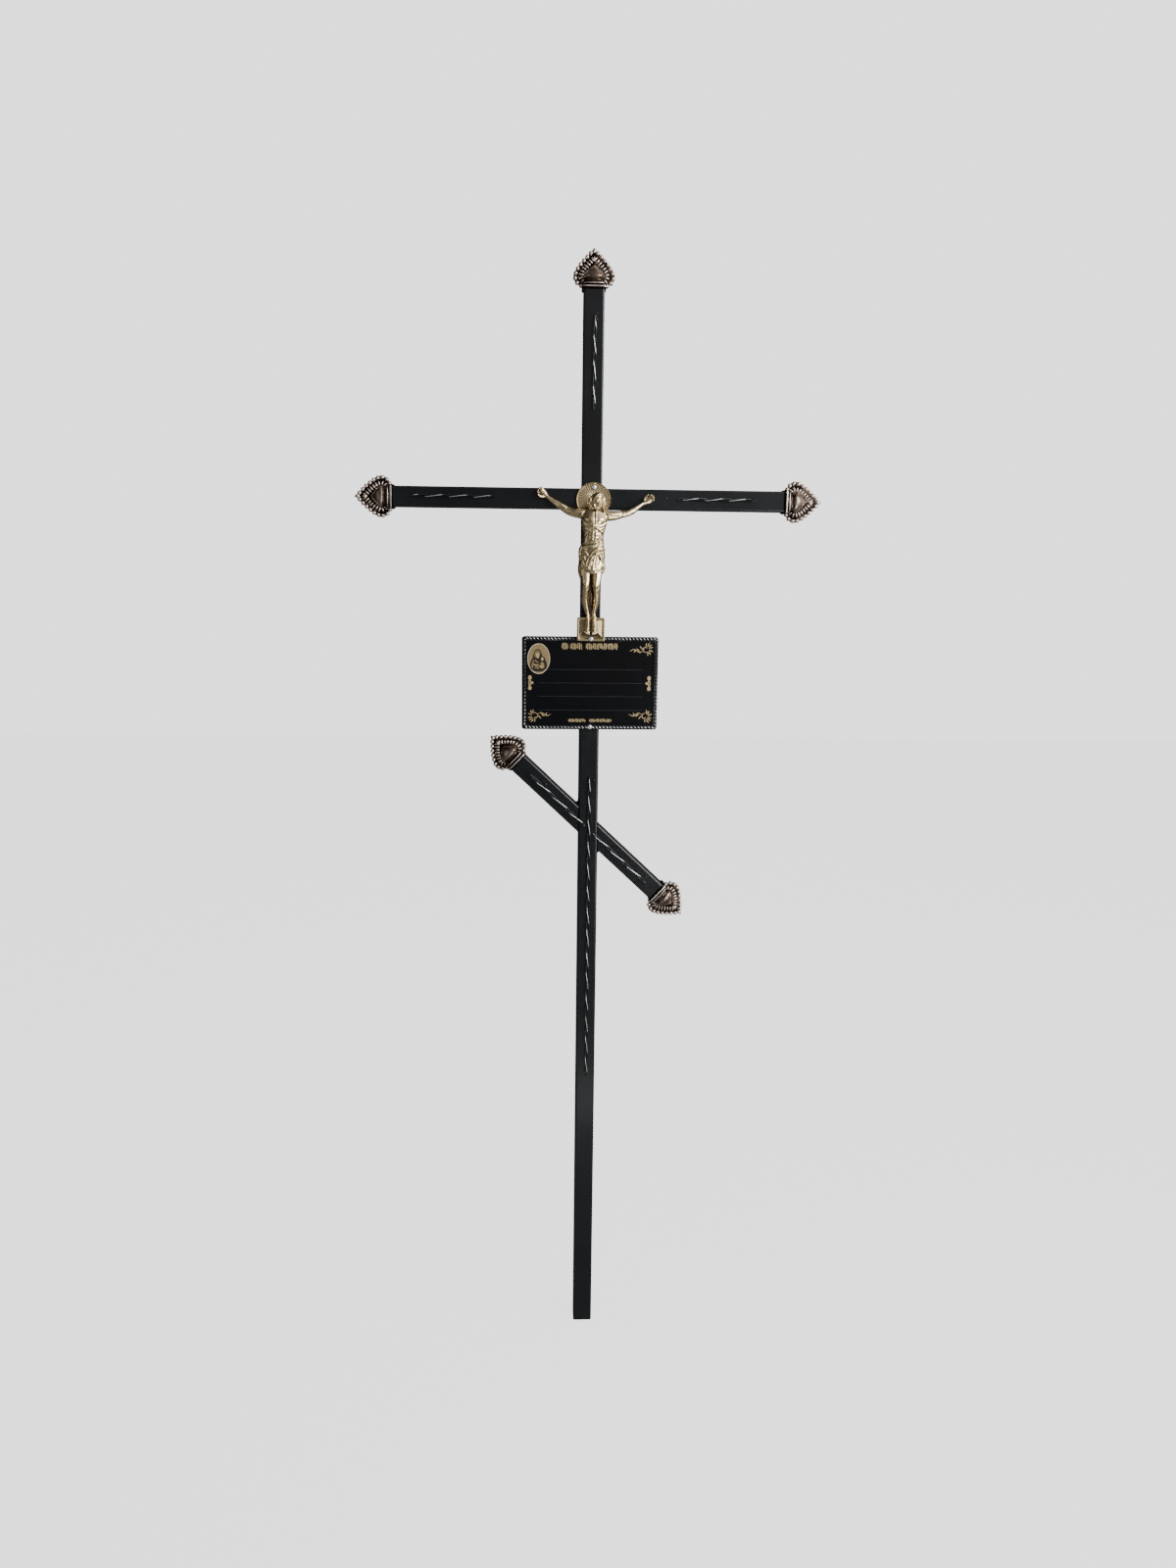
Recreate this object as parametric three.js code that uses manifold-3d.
import * as THREE from 'three';
import { mergeVertices } from 'three/addons/utils/BufferGeometryUtils.js';
import Module from 'manifold-3d';

const wasm = await Module();
wasm.setup();

// A metal grave cross, sizes in millimetres. X runs to the right, Z up, and the front faces -Y.
// The origin is the centre of the post's foot, which is set in the ground.

const tubeSide = 40;
const tubeWall = 2;
const tubeCorner = 3.5;
const clearance = 0.3;

const postTop = 2178;
const crossbarHeight = 1789;
const leftArmReach = 387;
const rightArmReach = 381;
const obliqueDrop = 207;
const obliqueReach = 198;
const obliqueAngle = 43.4;
const weldFillet = 12.5;

const collarSide = 46;
const collarHeight = 6;
const collarSocket = 4.5;
const capHeight = 78;
const leafHalfWidth = 41;
const leafThickness = 10;
const leafWeb = 5;
const leafBead = 3.8;
const petalsPerSide = 9;
const bossHalfWidth = 20;
const bossHeight = 48;
const bossHalfDepth = 18;

const strandRadius = 2.4;
const strandSpread = 2.2;
const twistPitch = 95;
const rodTaper = 10;
const rodShift = 1.5;
const upperRodShare = 0.4678;
const upperRodInset = 53;
const lowerRodRise = 585;
const lowerRodDrop = 98;
const leftRodShare = 0.6179;
const leftRodInset = 35;
const rightRodShare = 0.6051;
const rightRodInset = 57;
const obliqueRodInset = 32;

const plateWidth = 274;
const plateHeight = 187;
const plateThickness = 4;
const plateCorner = 6;
const borderWidth = 9;
const borderHeight = 8;
const borderBevel = 2.2;

const figureHeight = 308;
const handLevelShare = 0.896;
const handShare = 0.4;
const figureLean = 0.6;
const headTiltAngle = 11.5;
const headNodAngle = 17.2;
const haloRadius = 34;
const haloThickness = 3;
const haloRim = 1.8;
const footPlateWidth = 55;
const footPlateHeight = 46;
const footPlateThickness = 9;
const footPlateFrame = 5;
const footPlateRecess = 3;
const footOverlap = 8;

const screwHeadRadius = 4.8;
const screwHeadHeight = 2.8;
const screwShankRadius = 2;
const screwGrip = 4;
const haloScrewInset = 10;
const plateTopScrewInset = 4;
const plateBottomScrewInset = 5.5;

const paint = { color: 0x16181b, roughness: 0.32, metalness: 0.2 };
const bronze = { color: 0x5b4638, roughness: 0.38, metalness: 0.85 };
const brass = { color: 0xa8946a, roughness: 0.3, metalness: 0.9 };
const steel = { color: 0xd4d6d8, roughness: 0.25, metalness: 0.95 };

const cross = new THREE.Group();
const postFront = tubeSide / 2;
const plateFront = postFront + clearance + borderHeight;
const figureBottom = crossbarHeight - handLevelShare * figureHeight;
const plateTop = figureBottom + footOverlap;
const plateBottom = plateTop - plateHeight;
const obliqueHeight = plateBottom - obliqueDrop;

// Closed geometry as a solid, and a solid back as a mesh.

function solidOf(geometry) {
  geometry.deleteAttribute('normal');
  geometry.deleteAttribute('uv');
  const merged = mergeVertices(geometry, 0.0001);
  return new wasm.Manifold(new wasm.Mesh({
    numProp: 3,
    vertProperties: new Float32Array(merged.getAttribute('position').array),
    triVerts: new Uint32Array(merged.index.array),
  }));
}

function geometryOf(solid) {
  const mesh = solid.getMesh();
  const geometry = new THREE.BufferGeometry();
  geometry.setAttribute('position', new THREE.BufferAttribute(new Float32Array(mesh.vertProperties), 3));
  geometry.setIndex(new THREE.BufferAttribute(new Uint32Array(mesh.triVerts), 1));
  geometry.computeVertexNormals();
  return geometry;
}

function joined(solids) {
  return solids.reduce((whole, solid) => whole.add(solid));
}

function piece(name, solid, look) {
  const mesh = new THREE.Mesh(geometryOf(solid), new THREE.MeshStandardMaterial(look));
  mesh.name = name;
  cross.add(mesh);
  return mesh;
}

function formed(geometry, place) {
  const position = geometry.getAttribute('position');
  const point = new THREE.Vector3();
  for (let i = 0; i < position.count; i += 1) {
    point.fromBufferAttribute(position, i);
    place(point);
    position.setXYZ(i, point.x, point.y, point.z);
  }
  return geometry;
}

function box(width, depth, height, x, y, z) {
  return solidOf(new THREE.BoxGeometry(width, depth, height).translate(x, y, z));
}

function roundedRectangle(width, height, corner) {
  const shape = new THREE.Shape();
  const x = width / 2 - corner;
  const y = height / 2 - corner;
  const quarter = Math.PI / 2;
  shape.absarc(x, y, corner, 0, quarter, false);
  shape.absarc(-x, y, corner, quarter, 2 * quarter, false);
  shape.absarc(-x, -y, corner, 2 * quarter, 3 * quarter, false);
  shape.absarc(x, -y, corner, 3 * quarter, 4 * quarter, false);
  shape.closePath();
  return shape;
}

// An outline drawn in X and Z, thickened to both sides of the middle plane or from back to front.
function slab(shape, back, front, curveSegments) {
  const depth = back - front;
  const geometry = new THREE.ExtrudeGeometry(shape, { depth, bevelEnabled: false, curveSegments });
  return solidOf(geometry.rotateX(Math.PI / 2).translate(0, back, 0));
}

// A drilled hole or a boss along Y.
function pin(radius, back, front, x, z) {
  const geometry = new THREE.CylinderGeometry(radius, radius, back - front, 8);
  return solidOf(geometry.translate(x, (back + front) / 2, z));
}

// Square tubes, butted on the post's sides.

const tubeSeat = collarSocket - clearance;
const buttGap = postFront + clearance;

function tube(start, end) {
  const past = 1;
  const shape = roundedRectangle(tubeSide, tubeSide, tubeCorner);
  const settings = { depth: end - start, bevelEnabled: false, curveSegments: 2 };
  const outer = solidOf(new THREE.ExtrudeGeometry(shape, settings).translate(0, 0, start));
  const bore = tubeSide - 2 * tubeWall;
  return outer.subtract(box(bore, bore, end - start + 2 * past, 0, 0, (start + end) / 2));
}

const leanTurn = THREE.MathUtils.degToRad(figureLean);
const haloScrewReach = figureHeight - haloScrewInset;
const screws = [
  {
    name: 'halo_screw',
    x: haloScrewReach * Math.sin(leanTurn),
    z: figureBottom + haloScrewReach * Math.cos(leanTurn),
    seat: postFront + clearance + haloThickness,
  },
  {
    name: 'nameplate_top_screw',
    x: 0,
    z: plateTop - plateTopScrewInset,
    seat: plateFront + clearance + footPlateThickness,
  },
  {
    name: 'nameplate_bottom_screw',
    x: 0,
    z: plateBottom + plateBottomScrewInset,
    seat: plateFront,
  },
];
const drillRadius = (screwShankRadius + clearance) / Math.cos(Math.PI / 8);

function drilled(solid) {
  const holes = screws.map((screw) => pin(drillRadius, -postFront / 2, -3 * postFront, screw.x, screw.z));
  return holes.reduce((rest, hole) => rest.subtract(hole), solid);
}

piece('post_tube', drilled(tube(0, postTop + tubeSeat)), paint);

const arms = [['right_arm_tube', 1, rightArmReach], ['left_arm_tube', -1, leftArmReach]];
for (const [name, side, reach] of arms) {
  const mesh = piece(name, tube(buttGap, reach + tubeSeat), paint);
  mesh.rotation.y = side * Math.PI / 2;
  mesh.position.z = crossbarHeight;
}

// The oblique bar is two tubes cut to the post's sides, with a weld in each sharp corner.
const obliqueTurn = THREE.MathUtils.degToRad(obliqueAngle);
const obliqueSides = [['lower_oblique', 1], ['upper_oblique', -1]];

for (const [name, side] of obliqueSides) {
  const turn = side > 0 ? 90 + obliqueAngle : obliqueAngle - 90;
  const arm = tube(0, obliqueReach + tubeSeat).rotate([0, turn, 0]);
  const along = new THREE.Vector2(Math.cos(obliqueTurn), -Math.sin(obliqueTurn)).multiplyScalar(side);
  const across = new THREE.Vector2(-Math.sin(obliqueTurn), -Math.cos(obliqueTurn)).multiplyScalar(side);
  const run = (buttGap + postFront * Math.sin(obliqueTurn)) / Math.cos(obliqueTurn);
  const corner = along.clone().multiplyScalar(run).addScaledVector(across, postFront);
  const onArm = corner.clone().addScaledVector(along, weldFillet);
  const inArm = onArm.clone().addScaledVector(across, -tubeWall / 2);
  const inCorner = corner.clone().addScaledVector(across, -tubeWall / 2);
  const fillet = new THREE.Shape();
  fillet.moveTo(corner.x, corner.y - side * weldFillet);
  fillet.quadraticCurveTo(corner.x, corner.y, onArm.x, onArm.y);
  fillet.lineTo(inArm.x, inArm.y);
  fillet.lineTo(inCorner.x, inCorner.y);
  const weldHalf = postFront - tubeCorner;
  const reach = 2 * obliqueReach;
  const outside = box(reach, 2 * tubeSide, 2 * reach, side * (buttGap + reach / 2), 0, 0);
  const mesh = piece(`${name}_tube`, arm.add(slab(fillet, weldHalf, -weldHalf, 6)).intersect(outside), paint);
  mesh.position.z = obliqueHeight;
}

// End caps: a collar over the tube's end, a flange, a pointed boss and a flat leaf of petals.

const leafHeart = new THREE.Vector2(0, bossHeight * 0.55);

function leafCurve() {
  const side = leafHalfWidth - leafBead;
  const tip = new THREE.Vector2(0, capHeight - leafBead);
  const widest = new THREE.Vector2(side, capHeight / 3);
  const foot = new THREE.Vector2(side * 0.6, collarHeight * 1.25);
  const upper = new THREE.CubicBezierCurve(
    tip,
    new THREE.Vector2(side * 0.31, capHeight * 0.8),
    new THREE.Vector2(side * 0.93, capHeight * 0.55),
    widest,
  );
  const lower = new THREE.CubicBezierCurve(
    widest,
    new THREE.Vector2(side, capHeight * 0.21),
    new THREE.Vector2(side * 0.84, capHeight * 0.12),
    foot,
  );
  const curve = new THREE.CurvePath();
  curve.add(upper);
  curve.add(lower);
  return curve;
}

// The leaf's outline, from the middle of its foot up the right side to the tip and down the left side.
// A point is a crest on a petal's round end, and a valley between two petals.
function leafOutline() {
  const curve = leafCurve();
  const pitch = 1 / (petalsPerSide + 0.3);
  const right = [];
  for (let i = petalsPerSide; i >= 1; i -= 1) {
    const bead = curve.getPointAt(i * pitch);
    const out = bead.clone().sub(leafHeart).setLength(leafBead);
    for (const turn of [-0.65, 0.65]) {
      right.push({ at: out.clone().rotateAround(new THREE.Vector2(), turn).add(bead), crest: true });
    }
    right.push({ at: curve.getPointAt((i - 0.5) * pitch), crest: false });
  }
  const left = right.map(({ at, crest }) => ({ at: new THREE.Vector2(-at.x, at.y), crest })).reverse();
  const foot = { at: new THREE.Vector2(0, collarHeight / 2), crest: false };
  return [foot, ...right, { at: new THREE.Vector2(0, capHeight), crest: true }, ...left];
}

// Rings of the leaf: the front's inner ring and rim, then the back's rim and inner ring.
function leaf() {
  const outline = leafOutline();
  const form = new THREE.CylinderGeometry(1, 1, 1, outline.length, 3);
  return solidOf(formed(form, (point) => {
    const ring = Math.round((0.5 - point.y) * 3);
    const turn = Math.atan2(point.x, point.z) / (2 * Math.PI);
    const { at, crest } = outline[Math.round((turn + 1) * outline.length) % outline.length];
    const onRim = ring === 1 || ring === 2;
    const inward = onRim ? 0 : 0.48;
    const reach = Math.hypot(point.x, point.z) < 0.5 ? 1 : inward;
    const rimHalf = crest ? leafThickness / 2 : leafWeb / 2;
    const half = onRim ? rimHalf : leafThickness * 0.4;
    point.set(THREE.MathUtils.lerp(at.x, leafHeart.x, reach), ring < 2 ? -half : half,
      THREE.MathUtils.lerp(at.y, leafHeart.y, reach));
  }));
}

// Each row of the boss: height, half width and half depth, as shares of bossHeight and the two halves.
const bossRows = [
  [0.09, 0.9, 1], [0.17, 0.88, 0.98], [0.22, 1.04, 1.14], [0.28, 0.84, 0.9], [0.4, 0.84, 0.86],
  [0.5, 1, 1], [0.64, 0.92, 0.92], [0.82, 0.55, 0.6], [1, 0.08, 0.2],
];

function endCap() {
  const collarShape = roundedRectangle(collarSide, collarSide, tubeCorner);
  const settings = { depth: collarHeight, bevelEnabled: false, curveSegments: 1 };
  const collar = solidOf(new THREE.ExtrudeGeometry(collarShape, settings));
  const socket = tubeSide + 2 * clearance;
  const steps = bossRows.length - 1;
  const barrel = new THREE.CylinderGeometry(1, 1, 1, 8, steps).rotateX(Math.PI / 2).rotateZ(Math.PI / 8);
  const boss = solidOf(formed(barrel, (point) => {
    const [height, wide, deep] = bossRows[Math.round((point.z + 0.5) * steps)];
    const spread = (value) => Math.sign(value) * Math.sqrt(Math.abs(value));
    point.x = spread(point.x) * wide * bossHalfWidth;
    point.y = spread(point.y) * deep * bossHalfDepth;
    point.z = height * bossHeight;
  }));
  const body = joined([collar, boss, leaf()]);
  return body.subtract(box(socket, socket, 2 * collarSocket, 0, 0, 0));
}

const capSolid = endCap();
const caps = [
  ['top_end_cap', 0, postTop, 0],
  ['right_end_cap', rightArmReach, crossbarHeight, 90],
  ['left_end_cap', -leftArmReach, crossbarHeight, -90],
  ['lower_oblique_end_cap', obliqueReach * Math.cos(obliqueTurn),
    obliqueHeight - obliqueReach * Math.sin(obliqueTurn), 90 + obliqueAngle],
  ['upper_oblique_end_cap', -obliqueReach * Math.cos(obliqueTurn),
    obliqueHeight + obliqueReach * Math.sin(obliqueTurn), obliqueAngle - 90],
];
for (const [name, x, z, turn] of caps) {
  const mesh = piece(name, capSolid, bronze);
  mesh.rotation.y = THREE.MathUtils.degToRad(turn);
  mesh.position.set(x, 0, z);
}

// Twisted rods: two strands wound together, tapering to their welded ends, on the front of the tubes.

const rodRadius = strandRadius + strandSpread;
const rodFront = postFront + clearance + rodRadius;

function twistedRod(length) {
  const stepLength = twistPitch / 7;
  const inner = Math.max(2, Math.round((length - 2 * rodTaper) / stepLength));
  const rows = [0];
  for (let i = 0; i <= inner; i += 1) {
    rows.push(rodTaper + (length - 2 * rodTaper) * i / inner);
  }
  rows.push(length);
  const steps = rows.length - 1;
  const bar = new THREE.CylinderGeometry(1, 1, 1, 6, steps).rotateX(Math.PI / 2);
  return solidOf(formed(bar, (point) => {
    const row = Math.round((point.z + 0.5) * steps);
    const height = rows[row];
    const rim = Math.hypot(point.x, point.y);
    const angle = Math.atan2(point.y, point.x);
    const side = strandSpread * Math.sin(angle);
    const lobe = strandSpread * Math.abs(Math.cos(angle)) + Math.sqrt(strandRadius ** 2 - side ** 2);
    const taper = row === 0 || row === steps ? 0.35 : 1;
    const turned = angle - 2 * Math.PI * height / twistPitch;
    point.set(rim * lobe * taper * Math.cos(turned), rim * lobe * taper * Math.sin(turned), height);
  }));
}

function rodPiece(name, length, start, turn, x, z) {
  const mesh = piece(name, twistedRod(length), paint);
  const angle = THREE.MathUtils.degToRad(turn);
  mesh.rotation.y = angle;
  mesh.position.set(x + start * Math.sin(angle), -rodFront, z + start * Math.cos(angle));
}

// Above the figure and beside its hands, a rod takes its share of the tube that is left bare.
function shareOfRun(share, inset, end, start) {
  const length = share * (end - start);
  return [length, end - inset - length];
}

const upperRod = shareOfRun(upperRodShare, upperRodInset, postTop, figureBottom + figureHeight);
const rightRod = shareOfRun(rightRodShare, rightRodInset, rightArmReach, handShare * figureHeight);
const leftRod = shareOfRun(leftRodShare, leftRodInset, leftArmReach, handShare * figureHeight);
const lowerRodLength = plateBottom - lowerRodDrop - lowerRodRise;
rodPiece('upper_post_twisted_rod', ...upperRod, 0, rodShift, 0);
rodPiece('lower_post_twisted_rod', lowerRodLength, lowerRodRise, 0, rodShift, 0);
rodPiece('right_arm_twisted_rod', ...rightRod, 90, 0, crossbarHeight + rodShift);
rodPiece('left_arm_twisted_rod', ...leftRod, -90, 0, crossbarHeight + rodShift);
const rodMeet = rodRadius * (1 + Math.sin(obliqueTurn)) + clearance;
for (const [name, side] of obliqueSides) {
  const start = (rodMeet + side * rodShift) / Math.cos(obliqueTurn);
  const turn = side > 0 ? 90 + obliqueAngle : obliqueAngle - 90;
  rodPiece(`${name}_twisted_rod`, obliqueReach - obliqueRodInset - start, start, turn, 0, obliqueHeight);
}

// Nameplate: a flat panel with a raised round border. Its print is flat.

const plateBack = -postFront - clearance;
const plateOutline = roundedRectangle(plateWidth, plateHeight, plateCorner);
const panel = slab(plateOutline, plateBack, plateBack - plateThickness, 2);
const bevelled = 2 * borderBevel;
const borderShape = roundedRectangle(plateWidth - bevelled, plateHeight - bevelled, plateCorner);
const border = solidOf(new THREE.ExtrudeGeometry(borderShape, {
  depth: borderHeight - bevelled,
  bevelThickness: borderBevel,
  bevelSize: borderBevel,
  bevelSegments: 1,
  curveSegments: 2,
}).rotateX(Math.PI / 2).translate(0, plateBack - borderBevel, 0));
const borders = 2 * borderWidth;
const faceShape = roundedRectangle(plateWidth - borders, plateHeight - borders, plateCorner / 2);
const face = slab(faceShape, 0, -3 * postFront, 2);
const plate = panel.add(border.subtract(face)).translate([0, 0, plateBottom + plateHeight / 2]);
piece('nameplate', drilled(plate), paint);

// The figure: one casting with its halo and foot plate. Its limbs are laid out in 296ths of figureHeight:
// x to the right, z up from the foot plate's lower edge, and d forward from the post's face. Each row of a
// limb also has its half width across the front and its half depth.

const unit = figureHeight / 296;

function limb(rows, sides) {
  const centres = rows.map(([x, z, d]) => new THREE.Vector3(x, -d, z));
  const steps = rows.length - 1;
  const frames = centres.map((centre, i) => {
    const along = centres[Math.min(i + 1, steps)].clone().sub(centres[Math.max(i - 1, 0)]).normalize();
    const back = new THREE.Vector3(0, 1, 0).addScaledVector(along, -along.y).normalize();
    return { along, back, across: back.clone().cross(along) };
  });
  const form = new THREE.CylinderGeometry(1, 1, 1, sides, steps);
  form.rotateX(Math.PI / 2).rotateZ(Math.PI / sides);
  return solidOf(formed(form, (point) => {
    const row = Math.round((point.z + 0.5) * steps);
    const [, , , wide, deep] = rows[row];
    const { back, across } = frames[row];
    const { x, y } = point;
    point.copy(centres[row]).addScaledVector(across, x * wide).addScaledVector(back, y * deep);
    point.multiplyScalar(unit);
    point.y -= postFront;
  }));
}

// Part of the head: a ball turned with the head's nod and tilt.
function ball(x, z, d, wide, deep, high, sides) {
  const nod = THREE.MathUtils.degToRad(headNodAngle);
  const tilt = THREE.MathUtils.degToRad(headTiltAngle);
  const form = new THREE.SphereGeometry(1, sides, Math.round(sides * 0.7)).rotateX(Math.PI / 2);
  form.scale(wide, deep, high).rotateX(nod).rotateY(tilt).translate(x, -d, z);
  return solidOf(form.scale(unit, unit, unit).translate(0, -postFront, 0));
}

// Hand: a palm that follows the arm's last row, and four fingers curling forward from its far edge.
function hand(x, z, side, rise) {
  const along = new THREE.Vector2(side * Math.cos(rise), Math.sin(rise));
  const across = new THREE.Vector2(-along.y, along.x);
  const at = (out, over) => [x + along.x * out + across.x * over, z + along.y * out + across.y * over];
  const palm = limb([
    [...at(0, 0), 6.6, 3.4, 3], [...at(5, 0), 6.2, 5.4, 3.2],
    [...at(13, 0), 6, 7.4, 3.4], [...at(18, 0), 6.8, 6.6, 3],
  ], 6);
  const fingers = [-4.8, -1.6, 1.6, 4.8].map((over) => limb([
    [...at(15, over), 6.5, 1.7, 2.2], [...at(21.5, over), 9, 1.7, 2], [...at(21, over), 13, 1.3, 1.5],
  ], 4));
  const thumb = limb([
    [...at(7, 4.4), 7, 2.2, 2.4], [...at(12.5, 8.2), 10, 1.7, 2], [...at(16.5, 7.6), 13, 1.3, 1.4],
  ], 4);
  return joined([palm, thumb, ...fingers]);
}

const torso = [
  [-1, 148, 17, 20, 11], [-0.7, 166, 16, 22, 12], [0, 182, 18, 20.5, 11.5], [1, 198, 19.5, 19.3, 11],
  [1.2, 210, 20.5, 21.5, 12.5], [1.4, 222, 21, 24, 13.5], [1.4, 233, 20, 25, 12], [1.6, 241, 18.5, 19, 9.5],
  [2.2, 247, 19, 10, 7.5], [4, 262, 24, 6.5, 6.5],
];
const leftArm = [
  [-8, 235, 18, 8, 8], [-23, 236.5, 17, 9, 8.5], [-38, 238.5, 15, 8, 7.5], [-50, 243, 13, 7.4, 6.8],
  [-60, 249.5, 11.5, 6.6, 6], [-70, 255.5, 10, 5.4, 5], [-80, 262, 8, 3.9, 3.6], [-87, 267, 6.6, 3.2, 2.9],
];
const rightArm = [
  [10, 234, 18, 8, 8], [26, 234, 17, 9.6, 8.5], [40, 235, 15, 8.8, 7.5], [53, 237.5, 13, 7, 6.5],
  [64, 240, 12, 6.2, 6], [73, 244, 11, 6, 5.6], [83, 251, 9, 4.6, 4.4], [94, 259, 6.6, 3.2, 2.9],
];
const leftLeg = [
  [-10.5, 158, 17, 11, 11], [-13, 130, 23, 9.6, 9.5], [-13, 104, 28, 7.4, 7.6], [-13.5, 92, 24, 6.9, 7],
  [-13, 76, 19, 6.5, 7], [-7.8, 54, 15.5, 4.1, 4.8], [-6.6, 44, 16.5, 4.2, 5.6], [-6.8, 26, 19, 5.1, 5.4],
  [-7.2, 16, 19, 4.6, 4.4],
];
const rightLeg = [
  [9, 158, 17, 11.5, 11], [9, 130, 23, 9.6, 9.5], [6.5, 104, 28, 7.2, 7.6], [8, 92, 24.5, 6.4, 7],
  [9, 76, 19.5, 6, 7], [4.6, 54, 15.5, 4.2, 4.8], [4.8, 44, 16.5, 4.4, 5.6], [6.2, 27, 19, 5.2, 5.4],
  [6.6, 16, 19, 4.8, 4.4],
];
const cloth = [
  [-2.4, 131, 24, 19.5, 11], [-2, 140, 22, 22.6, 13], [-1, 155, 18, 24, 14], [-0.6, 168, 16.5, 23.6, 13.6],
  [-0.2, 177, 17, 22, 12.6],
];
const clothEnds = [
  [[-20, 179, 15, 2.4, 4], [-23, 170, 17, 4, 7], [-23, 150, 17, 3.4, 6.6], [-23.6, 132, 18, 4, 7],
    [-21.5, 118, 18, 2.4, 5]],
  [[20, 148, 18, 3, 5], [21, 138, 18.5, 3.6, 5.4], [19, 129, 19, 2.4, 4]],
];
const clothFolds = [
  [[21, 174, 22, 3, 3], [6, 167, 29, 3.4, 3.4], [-7, 155, 32, 2.6, 3]],
  [[-19, 172, 22, 3, 3], [-9, 165, 29, 3, 3.4], [2, 158, 32, 2.4, 3]],
  [[1, 161, 30, 2, 4], [-5, 148, 34, 2.8, 3], [-9, 132, 33, 2.4, 3]],
  [[3, 161, 30, 2, 4], [1, 146, 34, 2.6, 3], [1, 126, 33, 2.2, 3.4]],
  [[5, 161, 30, 2, 4], [11, 149, 32, 2.8, 3], [18, 137, 27, 2.4, 3]],
];
const locks = [
  [[-4, 273, 27, 3.6, 5], [-8.4, 264, 26, 3.8, 5.5], [-9.6, 253, 23, 3.8, 5], [-8, 243, 20, 2.2, 3]],
  [[13, 274, 28, 3.6, 5], [17.4, 264, 27, 4, 5.5], [19, 252, 24, 4.4, 5], [20.6, 241, 20, 3.6, 4],
    [20.6, 232, 17, 1.8, 3]],
];

function halo() {
  const flat = haloThickness;
  const inner = haloRadius - 2 * haloRim;
  const profile = [
    [0, 0], [haloRadius - haloRim / 2, 0], [haloRadius, flat], [haloRadius - haloRim, flat + haloRim],
    [inner, flat], [0, flat],
  ].map(([radius, height]) => new THREE.Vector2(radius, height));
  const disc = new THREE.LatheGeometry(profile, 20).rotateX(Math.PI);
  return solidOf(disc.translate(0, -postFront - clearance, figureHeight - haloRadius));
}

// The foot plate stands in front of the nameplate's border and has a raised frame.
function footPlate() {
  const back = -plateFront - clearance;
  const front = back - footPlateThickness;
  const middle = footPlateHeight / 2;
  const inside = footPlateFrame * 2;
  const sunk = roundedRectangle(footPlateWidth - inside, footPlateHeight - inside, footPlateFrame / 2);
  const recess = slab(sunk, front + footPlateRecess, front - footPlateRecess, 2).translate([0, 0, middle]);
  const block = box(footPlateWidth, footPlateThickness, footPlateHeight, 0, (back + front) / 2, middle);
  return block.subtract(recess);
}

function corpus() {
  const neckFront = -postFront - 22 * unit;
  const whole = joined([
    footPlate(),
    halo(),
    pin(9 * unit, -postFront - clearance - haloThickness / 2, neckFront, 3 * unit, 262 * unit),
    limb(torso, 10),
    limb(leftArm, 6),
    limb(rightArm, 6),
    limb(leftLeg, 7),
    limb(rightLeg, 7),
    limb(cloth, 10),
    ...clothEnds.map((rows) => limb(rows, 5)),
    ...clothFolds.map((rows) => limb(rows, 4)),
    hand(-87, 267, -1, 0.66),
    hand(94, 259, 1, 0.6),
    ball(5.4, 262, 28, 10, 12, 14.5, 10),
    ball(4.4, 266.5, 25, 12.4, 12, 13, 9),
    ball(8, 249.5, 31, 5, 5, 6, 8),
    limb([[5, 267, 39, 1, 1.4], [5.8, 260, 41.4, 1.8, 2.2], [6, 258.6, 39, 1.8, 1.4]], 5),
    ...locks.map((rows) => limb(rows, 5)),
  ]);
  return whole.rotate([0, figureLean, 0]).translate([0, 0, figureBottom]);
}

piece('corpus', drilled(corpus()), brass);

// Screws with domed heads. Each shank passes its holes and the post's front wall.

for (const screw of screws) {
  const length = screw.seat - postFront + tubeWall + screwGrip;
  const profile = [new THREE.Vector2(0, -length), new THREE.Vector2(screwShankRadius, -length)];
  profile.push(new THREE.Vector2(screwShankRadius, 0));
  for (let i = 0; i < 3; i += 1) {
    const turn = i / 3 * Math.PI / 2;
    profile.push(new THREE.Vector2(screwHeadRadius * Math.cos(turn), screwHeadHeight * Math.sin(turn)));
  }
  profile.push(new THREE.Vector2(0, screwHeadHeight));
  const mesh = piece(screw.name, solidOf(new THREE.LatheGeometry(profile, 8)), steel);
  mesh.rotation.x = Math.PI;
  mesh.position.set(screw.x, -screw.seat - clearance, screw.z);
}

export default cross;
